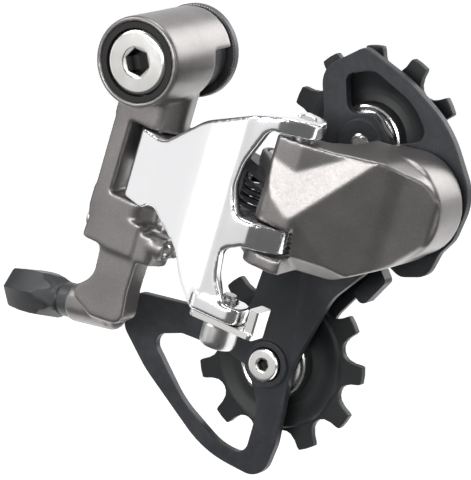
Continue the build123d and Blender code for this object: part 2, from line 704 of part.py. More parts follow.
def outer_plate_outline():
    """Corners of the cage's outer plate, X and Z with corner radius."""
    return [
        *beside(GUIDE_X, GUIDE_Z, [
            (1.0, 25.3, 3.0),
            (13.75, 17.3, 25.0),
        ]),
        *beside(CAGE_X, CAGE_Z, [
            (9.05, 20.05, 30.0),
            (15.7, 1.5, 22.0),
            (10.3, -9.9, 8.0),
            (6.3, -13.5, 5.0),
            (2.7, -19.9, 5.0),
            (-5.3, -20.5, 4.0),
            (-10.3, -16.5, 10.0),
        ]),
        *beside(TENSION_X, TENSION_Z, [
            (18.9, 18.6, 14.0),
            (7.1, -0.8, 10.0),
            (2.3, -21.8, 10.0),
            (-2.2, -31.8, 7.0),
            (-19.7, -25.3, 30.0),
            (-37.7, -4.3, 30.0),
            (-44.7, 7.2, 5.0),
            (-40.1, 16.2, 3.0),
            (-6.7, 11.6, 8.0),
            (-0.7, 27.2, 12.0),
        ]),
        *beside(GUIDE_X, GUIDE_Z, [
            (-11.6, -17.6, 16.0),
            (-11.1, 9.4, 20.0),
            (-12.0, 18.9, 7.0),
        ]),
    ]


def outer_plate():
    """Charcoal plate with the chain guard's loop."""
    body = plate_y(outer_plate_outline(), PLATE_START, PLATE_END)
    window = beside(TENSION_X, TENSION_Z, [
        (-36.2, 5.0, 3.0),
        (-26.2, 6.0, 3.0),
        (-11.7, 2.2, 6.0),
        (-6.3, -1.3, 3.0),
        (-2.9, -11.8, 8.0),
        (-7.1, -25.3, 3.5),
        (-14.7, -23.0, 20.0),
        (-26.2, -12.3, 30.0),
    ])
    body -= plate_y(window, PLATE_START - 1, PLATE_END + 1)
    slot = beside(GUIDE_X, GUIDE_Z, [
        (-4.6, 17.8, 2.5),
        (3.9, 19.2, 5.0),
        (15.4, 10.9, 14.0),
        (19.9, 1.9, 3.0),
        (9.4, 0.0, 1.0),
        (3.9, 8.0, 4.0),
        (-4.1, 7.4, 3.0),
    ])
    body -= plate_y(slot, PLATE_START - 1, PLATE_END + 1)
    body += ring_y(BOSS_R, PULLEY_BOLT_R, PLATE_START - 0.7, PLATE_END, GUIDE_X, GUIDE_Z)
    body += round_y(BOSS_R, PLATE_START - 1.3, PLATE_END, TENSION_X, TENSION_Z)
    body -= round_y(PULLEY_BOLT_R, PLATE_START - 2, PLATE_END + 1, GUIDE_X, GUIDE_Z)
    hole = PULLEY_BOLT_R + SEAT_FIT
    body -= round_y(hole, PLATE_START - 3, PLATE_END + 1, TENSION_X, TENSION_Z)
    body -= round_y(4.6, PLATE_START - 3, PLATE_START - 0.2, TENSION_X, TENSION_Z)
    body -= round_y(AXLE_R, PLATE_START - 1, PLATE_END + 1, CAGE_X, CAGE_Z)
    return body


def inner_plate():
    """Slim plate on the wheel side, open behind between the pulleys."""
    body = plate_y(
        [
            (GUIDE_X - 9.0, GUIDE_Z + 12.0, 8.0),
            (GUIDE_X + 8.0, GUIDE_Z + 14.0, 10.0),
            (GUIDE_X + 15.0, GUIDE_Z - 4.0, 14.0),
            (GUIDE_X + 3.4, GUIDE_Z - 32.1, 6.0),
            (TENSION_X + 13.3, TENSION_Z + 11.7, 10.0),
            (TENSION_X + 9.0, TENSION_Z + 1.0, 8.0),
            (TENSION_X + 5.0, TENSION_Z - 9.0, 6.0),
            (TENSION_X - 8.0, TENSION_Z - 7.0, 6.0),
            (TENSION_X - 6.0, TENSION_Z + 12.0, 14.0),
            (GUIDE_X - 14.0, GUIDE_Z - 26.0, 18.0),
        ],
        INNER_PLATE_START,
        INNER_PLATE_END,
    )
    ear_corners = [(-0.2, -34.0, 1.0), (1.8, -38.2, 1.5), (-5.4, -45.4, 2.0), (-8.2, -41.6, 1.0)]
    ear = beside(GUIDE_X, GUIDE_Z, ear_corners)
    body += plate_y(ear, INNER_PLATE_START - GUARD_DEPTH, INNER_PLATE_END)
    hole = PULLEY_BOLT_R + SEAT_FIT
    body -= round_y(hole, INNER_PLATE_START - 1, INNER_PLATE_END + 1, GUIDE_X, GUIDE_Z)
    body -= round_y(PULLEY_BOLT_R, INNER_PLATE_START - 1, INNER_PLATE_END + 1, TENSION_X, TENSION_Z)
    return body


def guide_pulley_bolt():
    """Bolt from the wheel side; its tip shows in the outer plate."""
    x, z = GUIDE_X, GUIDE_Z
    body = round_y(PULLEY_BOLT_R, PLATE_START - 1.5, INNER_PLATE_END, x, z)
    body = chamfer(body.edges().group_by(Axis.Y)[0], 0.5)
    body += round_y(4.4, INNER_PLATE_END, INNER_PLATE_END + 2.2, x, z)
    body = chamfer(body.edges().group_by(Axis.Y)[-1], 0.4)
    return body - hex_y(3.0, INNER_PLATE_END + 0.4, INNER_PLATE_END + 3, x, z)


def tension_pulley_bolt():
    """Bolt from the drive side into the inner plate."""
    x, z = TENSION_X, TENSION_Z
    seat = PLATE_START - 0.2
    body = round_y(4.4, seat - 2.6, seat, x, z)
    body = chamfer(body.edges().group_by(Axis.Y)[0], 0.5)
    body += round_y(PULLEY_BOLT_R, seat, INNER_PLATE_END + 0.6, x, z)
    return body - hex_y(3.0, seat - 3, seat - 0.6, x, z)


def pulley_bush(x, z):
    """Steel sleeve clamped between the cage plates."""
    bush = ring_y(BUSH_R, PULLEY_BOLT_R + SEAT_FIT, PLATE_END + 0.05, INNER_PLATE_START - 0.05, x, z)
    return bush


def pulley_caps(x, z):
    """Two thin metal caps that cover the pulley's hub."""
    far = INNER_PLATE_START - CAP_GAP
    near = PLATE_END + CAP_GAP
    return [
        ring_y(CAP_R, BUSH_R + SEAT_FIT, near, near + CAP_DEPTH, x, z),
        ring_y(CAP_R, BUSH_R + SEAT_FIT, far - CAP_DEPTH, far, x, z),
    ]


def pulley(x, z, turn):
    """Toothed resin wheel."""
    pitch_r = CHAIN_PITCH / (2 * sin(pi / TEETH))
    face = Circle(TIP_R)
    for i in range(TEETH):
        place = Rot(0, 0, turn + 360 / TEETH * i) * Pos(pitch_r + 0.5, 0)
        face -= place * Circle(ROLLER_R)
        mouth = Polygon((-0.5, -ROLLER_R), (6, -ROLLER_R - 1.6), (6, ROLLER_R + 1.6), (-0.5, ROLLER_R),
                        align=None)
        face -= place * mouth
    frame = Plane(origin=(x, PULLEY_MIDDLE, z), x_dir=(1, 0, 0), z_dir=(0, 1, 0))
    body = extrude(face, TOOTH_WIDTH / 2, both=True)
    body += Cylinder(pitch_r - ROLLER_R - 1.2, RIM_WIDTH)
    body += Cylinder(HUB_R, HUB_WIDTH)
    body -= Cylinder(BUSH_R + RUN_FIT, HUB_WIDTH + 1)
    return frame * body


def cage_stop_pin():
    """Pin in the cage's outer plate that rests on the lower knuckle's stop."""
    return round_y(STOP_PIN_R, KNUCKLE_END - 2.6, PLATE_START, *around_cage(STOP_ANGLE))


def build():
    """Every node of the derailleur by name."""
    nodes = {
        "mounting_bolt": mounting_bolt(),
        "snap_ring": snap_ring(),
        "stopper_plate": stopper_plate(),
        "b_tension_screw": b_tension_screw(),
        "b_knuckle_body": upper_knuckle(),
        "b_bushing": b_bushing(),
        "b_inner_cover": b_inner_cover(),
        "b_spring": b_spring(),
        "b_seal_ring": b_seal_ring(),
        "b_link_pins": link_pins((OUTER_B, INNER_B), EAR_BOTTOM - 4.5, -11.8),
        "high_limit_screw": limit_screw(0),
        "low_limit_screw": limit_screw(1),
        "adjuster_bolt": adjuster_bolt(),
        "adjuster_ring": adjuster_ring(),
        "adjuster_grip": adjuster_grip(),
        "outer_link": outer_link(),
        "cable_clamp_plate": cable_clamp_plate(),
        "cable_fixing_bolt": cable_fixing_bolt(),
        "inner_link": inner_link(),
        "return_spring": return_spring(),
        "p_knuckle_body": lower_knuckle(),
        "p_outer_pin": link_pins((OUTER_P,), LOWER_EAR_BOTTOM + 0.2, FLANGE_TOP - 0.3),
        "p_inner_pin": link_pins((INNER_P,), LOWER_EAR_BOTTOM + 0.2, INNER_HIGH + SIDE_GAP + 3.8),
        "p_bushing": p_bushing(),
        "p_spring": p_spring(),
        "p_seal_ring": p_seal_ring(),
        "p_axle": p_axle(),
        "cage_outer_plate": outer_plate(),
        "cage_inner_plate": inner_plate(),
        "cage_stop_pin": cage_stop_pin(),
        "guide_pulley_bolt": guide_pulley_bolt(),
        "tension_pulley_bolt": tension_pulley_bolt(),
        "guide_pulley_bush": pulley_bush(GUIDE_X, GUIDE_Z),
        "tension_pulley_bush": pulley_bush(TENSION_X, TENSION_Z),
        "guide_pulley_caps": pulley_caps(GUIDE_X, GUIDE_Z),
        "tension_pulley_caps": pulley_caps(TENSION_X, TENSION_Z),
        "guide_pulley": pulley(GUIDE_X, GUIDE_Z, GUIDE_TURN),
        "tension_pulley": pulley(TENSION_X, TENSION_Z, TENSION_TURN),
    }
    return nodes


os.makedirs("parts", exist_ok=True)
for name, shape in build().items():
    if isinstance(shape, list) and len(shape) > 1:
        shape = Compound(children=[Part(solid.wrapped) for solid in shape])
    elif isinstance(shape, list):
        shape = shape[0]
    export_step(shape, f"parts/{name}.step")
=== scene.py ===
import json
import logging
import math
from dataclasses import dataclass, field
from enum import Enum
from typing import Iterable, Sequence

import bmesh
import bpy
from mathutils import Matrix, Vector


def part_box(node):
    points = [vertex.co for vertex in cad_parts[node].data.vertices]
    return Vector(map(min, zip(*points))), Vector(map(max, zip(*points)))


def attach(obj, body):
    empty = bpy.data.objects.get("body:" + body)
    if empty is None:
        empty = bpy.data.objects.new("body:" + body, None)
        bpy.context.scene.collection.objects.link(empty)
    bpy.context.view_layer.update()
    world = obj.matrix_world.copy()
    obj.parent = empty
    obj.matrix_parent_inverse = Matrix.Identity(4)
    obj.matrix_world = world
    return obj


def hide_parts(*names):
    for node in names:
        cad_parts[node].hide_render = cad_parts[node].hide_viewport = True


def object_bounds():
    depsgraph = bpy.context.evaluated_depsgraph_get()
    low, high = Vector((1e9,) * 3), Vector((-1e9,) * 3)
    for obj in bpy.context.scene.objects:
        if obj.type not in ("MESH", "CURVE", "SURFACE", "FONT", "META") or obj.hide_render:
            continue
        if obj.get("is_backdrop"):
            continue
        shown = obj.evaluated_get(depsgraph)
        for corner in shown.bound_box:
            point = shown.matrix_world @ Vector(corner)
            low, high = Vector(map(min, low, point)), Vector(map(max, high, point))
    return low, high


"""A rear bicycle derailleur: castings, plates, pulleys and fixings, with their finishes and a studio.

Sizes in the classes are in millimetres; a piece becomes metres when it is finished.
"""

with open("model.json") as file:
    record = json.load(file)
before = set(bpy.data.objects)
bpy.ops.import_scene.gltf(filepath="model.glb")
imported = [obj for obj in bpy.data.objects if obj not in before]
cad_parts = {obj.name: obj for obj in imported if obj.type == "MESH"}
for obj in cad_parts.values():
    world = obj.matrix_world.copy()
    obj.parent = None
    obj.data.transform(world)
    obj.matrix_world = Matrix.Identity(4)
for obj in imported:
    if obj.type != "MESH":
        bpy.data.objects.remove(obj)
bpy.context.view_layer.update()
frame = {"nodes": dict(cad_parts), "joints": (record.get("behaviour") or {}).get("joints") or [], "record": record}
LOG = logging.getLogger("derailleur")
MILLIMETRES = 1000.0
SOFT_CREASE = 60.0  # the least angle of a sharp edge on a casting, in degrees


class Slot(Enum):
    """The material slots of the record."""

    SATIN_GREY = "satin_grey"
    POLISHED_SILVER = "polished_silver"
    PLATE_CHARCOAL = "plate_charcoal"
    BRIGHT_STEEL = "bright_steel"
    STEEL = "steel"
    BLACK_STEEL = "black_steel"
    BRONZE = "bronze"
    PULLEY_BLACK = "pulley_black"
    BLACK_PLASTIC = "black_plastic"
    SEAL_RUBBER = "seal_rubber"
    DARK_ALLOY = "dark_alloy"


# ---------------------------------------------------------------- shader nodes


class Term:
    """A node socket that can stand in a sum."""

    def __init__(self, nodes: "NodeTree", socket: bpy.types.NodeSocket) -> None:
        """Keeps the socket and the tree that it belongs to."""
        self.nodes = nodes
        self.socket = socket

    def _sum(self, operation: str, first: "Term | float", second: "Term | float") -> "Term":
        """Adds a Math node.

        Args:
            operation: The node's operation.
            first: The first value.
            second: The second value.

        Returns:
            The result.
        """
        return self.nodes.make("ShaderNodeMath", {"operation": operation}, {0: first, 1: second})

    def __add__(self, other: "Term | float") -> "Term":
        """Returns self + other."""
        return self._sum("ADD", self, other)

    def __mul__(self, other: "Term | float") -> "Term":
        """Returns self * other."""
        return self._sum("MULTIPLY", self, other)


class NodeTree:
    """A material's nodes."""

    def __init__(self, name: str) -> None:
        """Starts a material with one principled shader."""
        self.material = bpy.data.materials.new(name)
        self.material.use_nodes = True
        self.tree = self.material.node_tree
        self.tree.nodes.clear()
        self.shader = self.tree.nodes.new("ShaderNodeBsdfPrincipled")
        out = self.tree.nodes.new("ShaderNodeOutputMaterial")
        self.tree.links.new(self.shader.outputs[0], out.inputs["Surface"])

    def make(
        self,
        kind: str,
        settings: dict[str, object] | None = None,
        inputs: dict[str | int, object] | None = None,
        output: str | int = 0,
    ) -> Term:
        """Adds any node.

        Args:
            kind: The node's type.
            settings: Its properties, set first.
            inputs: A value or a term for each socket that isn't left as it is.
            output: The socket that is wanted.

        Returns:
            The wanted output.
        """
        node = self.tree.nodes.new(kind)
        for key, value in (settings or {}).items():
            setattr(node, key, value)
        for key, value in (inputs or {}).items():
            self.feed(node.inputs[key], value)
        return Term(self, node.outputs[output])

    def feed(self, socket: bpy.types.NodeSocket, value: object) -> None:
        """Links a term to a socket, or sets the socket to a plain value."""
        if isinstance(value, Term):
            self.tree.links.new(value.socket, socket)
        else:
            socket.default_value = value

    def set(self, name: str, value: object) -> None:
        """Feeds one of the shader's own sockets."""
        self.feed(self.shader.inputs[name], value)

    def place(self) -> Term:
        """Returns the piece's own coordinates in millimetres."""
        coordinates = self.make("ShaderNodeTexCoord", output="Object")
        return self.make("ShaderNodeMapping", None, {"Vector": coordinates, "Scale": (MILLIMETRES,) * 3})

    def noise(self, at: Term, scale: float, detail: float = 2.0, rough: float = 0.5) -> Term:
        """Returns noise between 0 and 1, with scale features to a millimetre."""
        return self.make(
            "ShaderNodeTexNoise", None,
            {"Vector": at, "Scale": scale, "Detail": detail, "Roughness": rough}, "Fac",
        )

    def spread(self, value: Term, low: float, high: float, start: float, end: float) -> Term:
        """Maps a value from low..high to start..end, held at both ends."""
        return self.make(
            "ShaderNodeMapRange", {"clamp": True},
            {"Value": value, "From Min": low, "From Max": high, "To Min": start, "To Max": end},
        )

    def blend(self, share: Term, low: Sequence[float], high: Sequence[float]) -> Term:
        """Returns a colour between two, by share."""
        node = self.tree.nodes.new("ShaderNodeMix")
        node.data_type = "RGBA"
        self.feed(node.inputs[0], share)
        for socket, colour in ((node.inputs[6], low), (node.inputs[7], high)):
            self.feed(socket, colour if isinstance(colour, Term) else (*colour, 1.0))
        return Term(self, node.outputs[2])

    def relief(self, height: Term, depth: float, strength: float = 1.0) -> None:
        """Turns a height into the surface's relief, depth in millimetres."""
        bump = self.make(
            "ShaderNodeBump", None,
            {"Height": height, "Strength": strength, "Distance": depth / MILLIMETRES}, "Normal",
        )
        self.set("Normal", bump)


# ---------------------------------------------------------------- finishes


@dataclass(frozen=True)
class MetalPaint:
    """Fine metallic paint over a casting: flakes, a satin clear coat and a soft texture."""

    name: str
    slot: Slot
    colour: tuple[float, float, float]
    flake: tuple[float, float, float]
    metallic: float = 0.85
    roughness: float = 0.36
    coat: float = 0.1

    def material(self) -> bpy.types.Material:
        """Returns the material."""
        n = NodeTree(self.name)
        at = n.place()
        flakes = n.make(
            "ShaderNodeTexVoronoi", {"feature": "F1"},
            {"Vector": at, "Scale": 9.0, "Randomness": 1.0}, "Color",
        )
        lit = n.make("ShaderNodeSeparateColor", None, {"Color": flakes}, "Red")
        cloud = n.noise(at, 0.09, 3.0)
        share = n.spread(lit, 0.5, 1.0, 0.0, 0.55) + n.spread(cloud, 0.3, 0.7, 0.0, 0.35)
        n.set("Base Color", n.blend(share, self.colour, self.flake))
        n.set("Metallic", self.metallic)
        grain = n.noise(at, 2.2, 3.0)
        n.set("Roughness", n.spread(
            grain + lit * 0.3, 0.35, 0.95, self.roughness - 0.06, self.roughness + 0.08))
        n.set("Coat Weight", self.coat)
        n.set("Coat Roughness", 0.22)
        n.relief(n.noise(at, 3.2, 4.0, 0.6) + lit * 0.15, 0.008, 0.4)
        return n.material


@dataclass(frozen=True)
class WorkedMetal:
    """Bare or plated metal: polish, faint swirl marks and finger haze; socket recesses get painted shade."""

    name: str
    slot: Slot
    colour: tuple[float, float, float]
    dull: tuple[float, float, float]
    roughness: float = 0.2
    haze: float = 0.08
    mark: float = 0.004
    grain: float = 4.0
    # painted shade: the near-black colour that socket walls and floors are blended towards
    shade_colour: tuple[float, float, float] = (0.03, 0.03, 0.03)

    def material(self) -> bpy.types.Material:
        """Returns the material."""
        n = NodeTree(self.name)
        at = n.place()
        cloud = n.noise(at, 0.11, 4.0, 0.6)
        fine = n.noise(at, self.grain, 3.0, 0.65)
        edge = n.make("ShaderNodeNewGeometry", output="Pointiness")
        worn = n.spread(edge, 0.46, 0.56, 0.0, 1.0)
        share = n.spread(cloud, 0.3, 0.7, 0.15, 0.85) * 0.6 + worn * 0.4
        # painted shade: the marks that Form.socket sets (0.45 on the hexagon rim, 1.0 on the floor) blend the
        # colour to near-black inside the socket
        painted_shade = n.make("ShaderNodeAttribute", {"attribute_name": "painted_shade"}, None, "Fac")
        n.set("Base Color", n.blend(painted_shade, n.blend(share, self.dull, self.colour), self.shade_colour))
        n.set("Metallic", 1.0)
        rough = n.spread(cloud, 0.35, 0.7, self.roughness - self.haze / 2, self.roughness + self.haze / 2)
        n.set("Roughness", rough + n.spread(fine, 0.3, 0.7, 0.0, self.haze / 2))
        n.relief(fine, self.mark, 0.6)
        return n.material


@dataclass(frozen=True)
class Anodised:
    """Blasted and dyed aluminium plate, paler where an edge has rubbed."""

    name: str
    slot: Slot
    colour: tuple[float, float, float]
    rubbed: tuple[float, float, float]
    roughness: float = 0.42
    metallic: float = 0.3
    gloss: float = 0.3

    def material(self) -> bpy.types.Material:
        """Returns the material."""
        n = NodeTree(self.name)
        at = n.place()
        cloud = n.noise(at, 0.08, 3.0)
        blast = n.noise(at, 5.5, 4.0, 0.7)
        edge = n.make("ShaderNodeNewGeometry", output="Pointiness")
        worn = n.spread(edge, 0.51, 0.60, 0.0, 0.5) * n.spread(n.noise(at, 0.6, 4.0), 0.4, 0.65, 0.2, 1.0)
        share = n.spread(cloud, 0.3, 0.7, 0.0, 0.22) + n.spread(blast, 0.3, 0.7, 0.0, 0.12) + worn
        n.set("Base Color", n.blend(share, self.colour, self.rubbed))
        n.set("Metallic", self.metallic)
        n.set("Specular IOR Level", self.gloss)
        n.set("Roughness", n.spread(
            blast + cloud * 0.4, 0.4, 0.95, self.roughness - 0.07, self.roughness + 0.1))
        n.relief(blast, 0.014, 0.55)
        return n.material


@dataclass(frozen=True)
class Moulded:
    """Moulded resin or rubber with a fine spark texture."""

    name: str
    slot: Slot
    colour: tuple[float, float, float]
    pale: tuple[float, float, float]
    roughness: float = 0.45
    spark: float = 0.02
    grain: float = 3.0
    sheen: float = 0.0
    gloss: float = 0.45

    def material(self) -> bpy.types.Material:
        """Returns the material."""
        n = NodeTree(self.name)
        at = n.place()
        cloud = n.noise(at, 0.12, 4.0)
        fine = n.noise(at, self.grain, 4.0, 0.6)
        edge = n.make("ShaderNodeNewGeometry", output="Pointiness")
        worn = n.spread(edge, 0.51, 0.6, 0.0, 0.4)
        share = n.spread(cloud, 0.3, 0.7, 0.0, 0.35) + n.spread(fine, 0.35, 0.7, 0.0, 0.2) + worn
        n.set("Base Color", n.blend(share, self.colour, self.pale))
        n.set("Roughness", n.spread(
            fine + cloud * 0.5, 0.4, 1.0, self.roughness - 0.08, self.roughness + 0.12))
        n.set("Sheen Weight", self.sheen)
        n.set("Specular IOR Level", self.gloss)
        n.relief(fine, self.spark, 0.6)
        return n.material


SATIN_GREY = MetalPaint("satin grey paint", Slot.SATIN_GREY, (0.17, 0.161, 0.158), (0.30, 0.287, 0.281))
POLISHED_SILVER = WorkedMetal(
    "polished silver", Slot.POLISHED_SILVER, (0.95, 0.95, 0.96), (0.88, 0.88, 0.895), 0.19, 0.06, 0.0005)
PLATE_CHARCOAL = Anodised("charcoal plate", Slot.PLATE_CHARCOAL, (0.014, 0.015, 0.018), (0.085, 0.088, 0.096))
BRIGHT_STEEL = WorkedMetal(
    "nickel plate", Slot.BRIGHT_STEEL, (0.86, 0.85, 0.83), (0.66, 0.65, 0.63), 0.2, 0.1, 0.006)
STEEL = WorkedMetal("steel", Slot.STEEL, (0.62, 0.62, 0.61), (0.42, 0.42, 0.42), 0.28, 0.12, 0.008)
BLACK_STEEL = WorkedMetal(
    "black spring steel", Slot.BLACK_STEEL, (0.05, 0.05, 0.055), (0.02, 0.02, 0.022), 0.3, 0.12, 0.008)
BRONZE = WorkedMetal("sintered bronze", Slot.BRONZE, (0.55, 0.36, 0.18), (0.32, 0.2, 0.1), 0.38, 0.14, 0.015)
DARK_ALLOY = WorkedMetal(
    "dark alloy", Slot.DARK_ALLOY, (0.14, 0.14, 0.15), (0.055, 0.055, 0.06), 0.42, 0.14, 0.012)
PULLEY_BLACK = Moulded(
    "pulley resin", Slot.PULLEY_BLACK, (0.004, 0.0045, 0.005), (0.022, 0.024, 0.026), 0.42, 0.012,
    3.0, 0.0, 0.3)
BLACK_PLASTIC = Moulded(
    "black plastic", Slot.BLACK_PLASTIC, (0.009, 0.0095, 0.011), (0.045, 0.047, 0.05), 0.36, 0.01, 2.5)
SEAL_RUBBER = Moulded(
    "seal rubber", Slot.SEAL_RUBBER, (0.006, 0.006, 0.006), (0.022, 0.022, 0.022), 0.6, 0.02, 4.0, 0.0, 0.25)

Finish = MetalPaint | WorkedMetal | Anodised | Moulded


class Paintshop:
    """Makes each finish's material once."""

    def __init__(self) -> None:
        """Starts with no material made."""
        self.made: dict[str, bpy.types.Material] = {}

    def material(self, finish: Finish) -> bpy.types.Material:
        """Returns the finish's material."""
        if finish.name not in self.made:
            self.made[finish.name] = finish.material()
        return self.made[finish.name]

    def dress(self, node: str, finish: Finish) -> None:
        """Gives a CAD node its finish."""
        for place in frame["nodes"][node].material_slots:
            place.material = self.material(finish)
        LOG.info("dressed %s in %s", node, finish.name)


# ---------------------------------------------------------------- shapes


class Form:
    """A shape on its way to a piece, in millimetres."""

    def __init__(self) -> None:
        """Starts an empty shape."""
        self.bm = bmesh.new()

    @classmethod
    def of_node(cls, node: str, flat: float = 0.6) -> "Form":
        """Copies a CAD node.

        Args:
            node: The node's name.
            flat: Faces that meet at less than this many degrees become one.

        Returns:
            The copy, merged.
        """
        form = cls()
        form.bm.from_mesh(frame["nodes"][node].data)
        form.scale(MILLIMETRES)
        bmesh.ops.remove_doubles(form.bm, verts=form.bm.verts, dist=0.0015)
        if flat > 0:
            bmesh.ops.dissolve_limit(
                form.bm, angle_limit=math.radians(flat), verts=form.bm.verts, edges=form.bm.edges)
        return form

    def scale(self, size: float) -> "Form":
        """Makes the whole shape larger or smaller about the origin."""
        bmesh.ops.scale(self.bm, vec=(size, size, size), verts=self.bm.verts)
        return self

    def move(self, matrix: Matrix) -> "Form":
        """Moves the whole shape."""
        bmesh.ops.transform(self.bm, matrix=matrix, verts=self.bm.verts)
        return self

    def join(self, other: "Form") -> "Form":
        """Adds another shape to this one."""
        mesh = bpy.data.meshes.new("joining")
        other.bm.to_mesh(mesh)
        self.bm.from_mesh(mesh)
        bpy.data.meshes.remove(mesh)
        other.bm.free()
        return self

    def turned(self, profile: Sequence[tuple[float, float]], steps: int = 64) -> "Form":
        """Turns a profile about Z.

        Args:
            profile: (radius, height) points.
            steps: How many faces go round.

        Returns:
            This shape.
        """
        verts = [self.bm.verts.new((radius, 0, height)) for radius, height in profile]
        edges = [self.bm.edges.new(pair) for pair in zip(verts, verts[1:])]
        bmesh.ops.spin(
            self.bm, geom=[*verts, *edges], cent=(0, 0, 0), axis=(0, 0, 1),
            angle=2 * math.pi, steps=steps, use_merge=True, use_duplicate=False)
        bmesh.ops.remove_doubles(self.bm, verts=self.bm.verts, dist=0.0005)
        return self

    def rounded(self, size: float, angle: float = 30.0, segments: int = 2) -> "Form":
        """Rounds every edge that is sharper than an angle.

        Args:
            size: The width of the rounding.
            angle: The least angle between faces, in degrees.
            segments: How many faces go across it.

        Returns:
            This shape.
        """
        bmesh.ops.recalc_face_normals(self.bm, faces=self.bm.faces)
        least = math.radians(angle)
        sharp = [e for e in self.bm.edges if len(e.link_faces) == 2 and e.calc_face_angle() > least]
        bmesh.ops.bevel(
            self.bm, geom=sharp, offset=size, offset_type="OFFSET", affect="EDGES",
            segments=segments, profile=0.5, material=-1, clamp_overlap=True)
        return self

    def cast(self, voxel: float, rounds: int) -> "Form":
        """Softens the shape into a casting: even faces, then smoothing.

        Args:
            voxel: The size of a face.
            rounds: How often it is smoothed.

        Returns:
            This shape.
        """
        mesh = bpy.data.meshes.new("casting")
        self.bm.to_mesh(mesh)
        blank = bpy.data.objects.new("casting", mesh)
        bpy.context.scene.collection.objects.link(blank)
        remesh = blank.modifiers.new("even", "REMESH")
        remesh.mode = "VOXEL"
        remesh.voxel_size = voxel
        ready = blank.evaluated_get(bpy.context.evaluated_depsgraph_get())
        even = bpy.data.meshes.new_from_object(ready)
        self.bm.clear()
        self.bm.from_mesh(even)
        bpy.data.objects.remove(blank)
        for spare in (mesh, even):
            bpy.data.meshes.remove(spare)
        for _ in range(rounds):
            bmesh.ops.smooth_vert(
                self.bm, verts=self.bm.verts, factor=0.5, use_axis_x=True, use_axis_y=True, use_axis_z=True)
        return self

    def wheel(self, teeth: int, tooth: Sequence[tuple[float, float]], low: float, high: float) -> "Form":
        """Makes a toothed disc.

        Args:
            teeth: How many teeth there are.
            tooth: (angle in degrees, radius) points of one tooth and gap.
            low: The disc's lower face.
            high: Its upper face.

        Returns:
            This shape.
        """
        count = len(tooth)
        rim = bmesh.ops.create_circle(self.bm, segments=teeth * count, radius=1, cap_ends=True)["verts"]
        for index, vert in enumerate(rim):
            angle, radius = tooth[index % count]
            turn = math.radians(angle + 360 / teeth * (index // count))
            vert.co = (radius * math.cos(turn), radius * math.sin(turn), low)
        faces = list({f for v in rim for f in v.link_faces})
        top = bmesh.ops.extrude_face_region(self.bm, geom=faces)["geom"]
        bmesh.ops.translate(
            self.bm, vec=(0, 0, high - low), verts=[v for v in top if isinstance(v, bmesh.types.BMVert)])
        return self

    def open_loop(self, height: float) -> list[bmesh.types.BMEdge]:
        """Returns the edges with one face that lie at a height."""
        return [
            e for e in self.bm.edges
            if len(e.link_faces) < 2 and all(abs(v.co.z - height) < 0.01 for v in e.verts)
        ]

    def socket(
        self, radius: float, across: float, height: float, depth: float, lead: float = 0.3, steps: int = 48,
    ) -> "Form":
        """Sinks a six-sided socket into a turned face whose middle is open, and marks its walls and floor for
        painted shade.

        Args:
            radius: The opening's radius.
            across: The socket's size across flats.
            height: The face's height.
            depth: How deep the socket is.
            lead: The depth of the round recess over it.
            steps: How many faces go round the opening.

        Returns:
            This shape.
        """
        # a float layer that marks the socket's vertices for painted shade inside the recess
        painted_shade = self.bm.verts.layers.float.new("painted_shade")
        ring = self.open_loop(height)
        recess = self.extruded(ring, -lead, 1 - lead * 0.2 / radius)
        corner = across / math.sqrt(3)
        made = bmesh.ops.create_circle(self.bm, segments=6, radius=corner, cap_ends=False)["verts"]
        sides = [e for e in self.bm.edges if all(v in made for v in e.verts)]
        bmesh.ops.subdivide_edges(self.bm, edges=sides, cuts=steps // 6 - 1)
        hexagon = [e for e in self.bm.edges if not e.link_faces and e not in recess]
        verts = list({v for e in hexagon for v in e.verts})
        bmesh.ops.translate(self.bm, vec=(0, 0, height - lead - 0.1), verts=verts)
        bmesh.ops.bridge_loops(self.bm, edges=[*recess, *hexagon])
        floor = self.extruded(hexagon, -depth, 1.0)
        bmesh.ops.edgeloop_fill(self.bm, edges=floor)
        # painted shade: the hexagon rim is marked 0.45 and the socket floor 1.0
        for loop, share in ((hexagon, 0.45), (floor, 1.0)):
            for edge in loop:
                for vert in edge.verts:
                    vert[painted_shade] = share
        return self

    def extruded(self, loop: list[bmesh.types.BMEdge], rise: float, grow: float) -> list[bmesh.types.BMEdge]:
        """Draws a wall from a loop about Z and returns the loop at its far end."""
        made = bmesh.ops.extrude_edge_only(self.bm, edges=loop)["geom"]
        far = {g for g in made if isinstance(g, bmesh.types.BMVert)}
        for vert in far:
            vert.co = (vert.co.x * grow, vert.co.y * grow, vert.co.z + rise)
        return [e for e in self.bm.edges if e.verts[0] in far and e.verts[1] in far]

    def thread(self, radius: float, start: float, length: float, pitch: float = 1.0) -> "Form":
        """Winds a thread's ridge onto a turned core.

        Args:
            radius: The thread's outer radius.
            start: Where it begins along Z.
            length: How long it is.
            pitch: The rise of one turn.

        Returns:
            This shape.
        """
        half = pitch * 0.42
        root = radius - pitch * 0.6
        points = [(root, start - half), (radius, start), (root, start + half)]
        verts = [self.bm.verts.new((r, 0, z)) for r, z in points]
        edges = [self.bm.edges.new(pair) for pair in zip(verts, verts[1:])]
        turns = max(1, int((length - pitch) / pitch))
        steps = 32 * turns
        bmesh.ops.spin(
            self.bm, geom=[*verts, *edges], cent=(0, 0, 0), axis=(0, 0, 1), dvec=(0, 0, pitch / 32),
            angle=2 * math.pi * turns, steps=steps, use_merge=False, use_duplicate=False)
        return self


def look_along(origin: Vector, axis: Vector, roll: float = 0.0) -> Matrix:
    """Returns the matrix that puts Z along an axis at an origin, turned about it by roll degrees."""
    turn = axis.normalized().to_track_quat("Z", "Y").to_matrix().to_4x4()
    return Matrix.Translation(origin) @ turn @ Matrix.Rotation(math.radians(roll), 4, "Z")


def middle(node: str) -> Vector:
    """Returns the middle of a CAD node's box, in millimetres."""
    low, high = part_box(node)
    return (low + high) * (MILLIMETRES / 2)


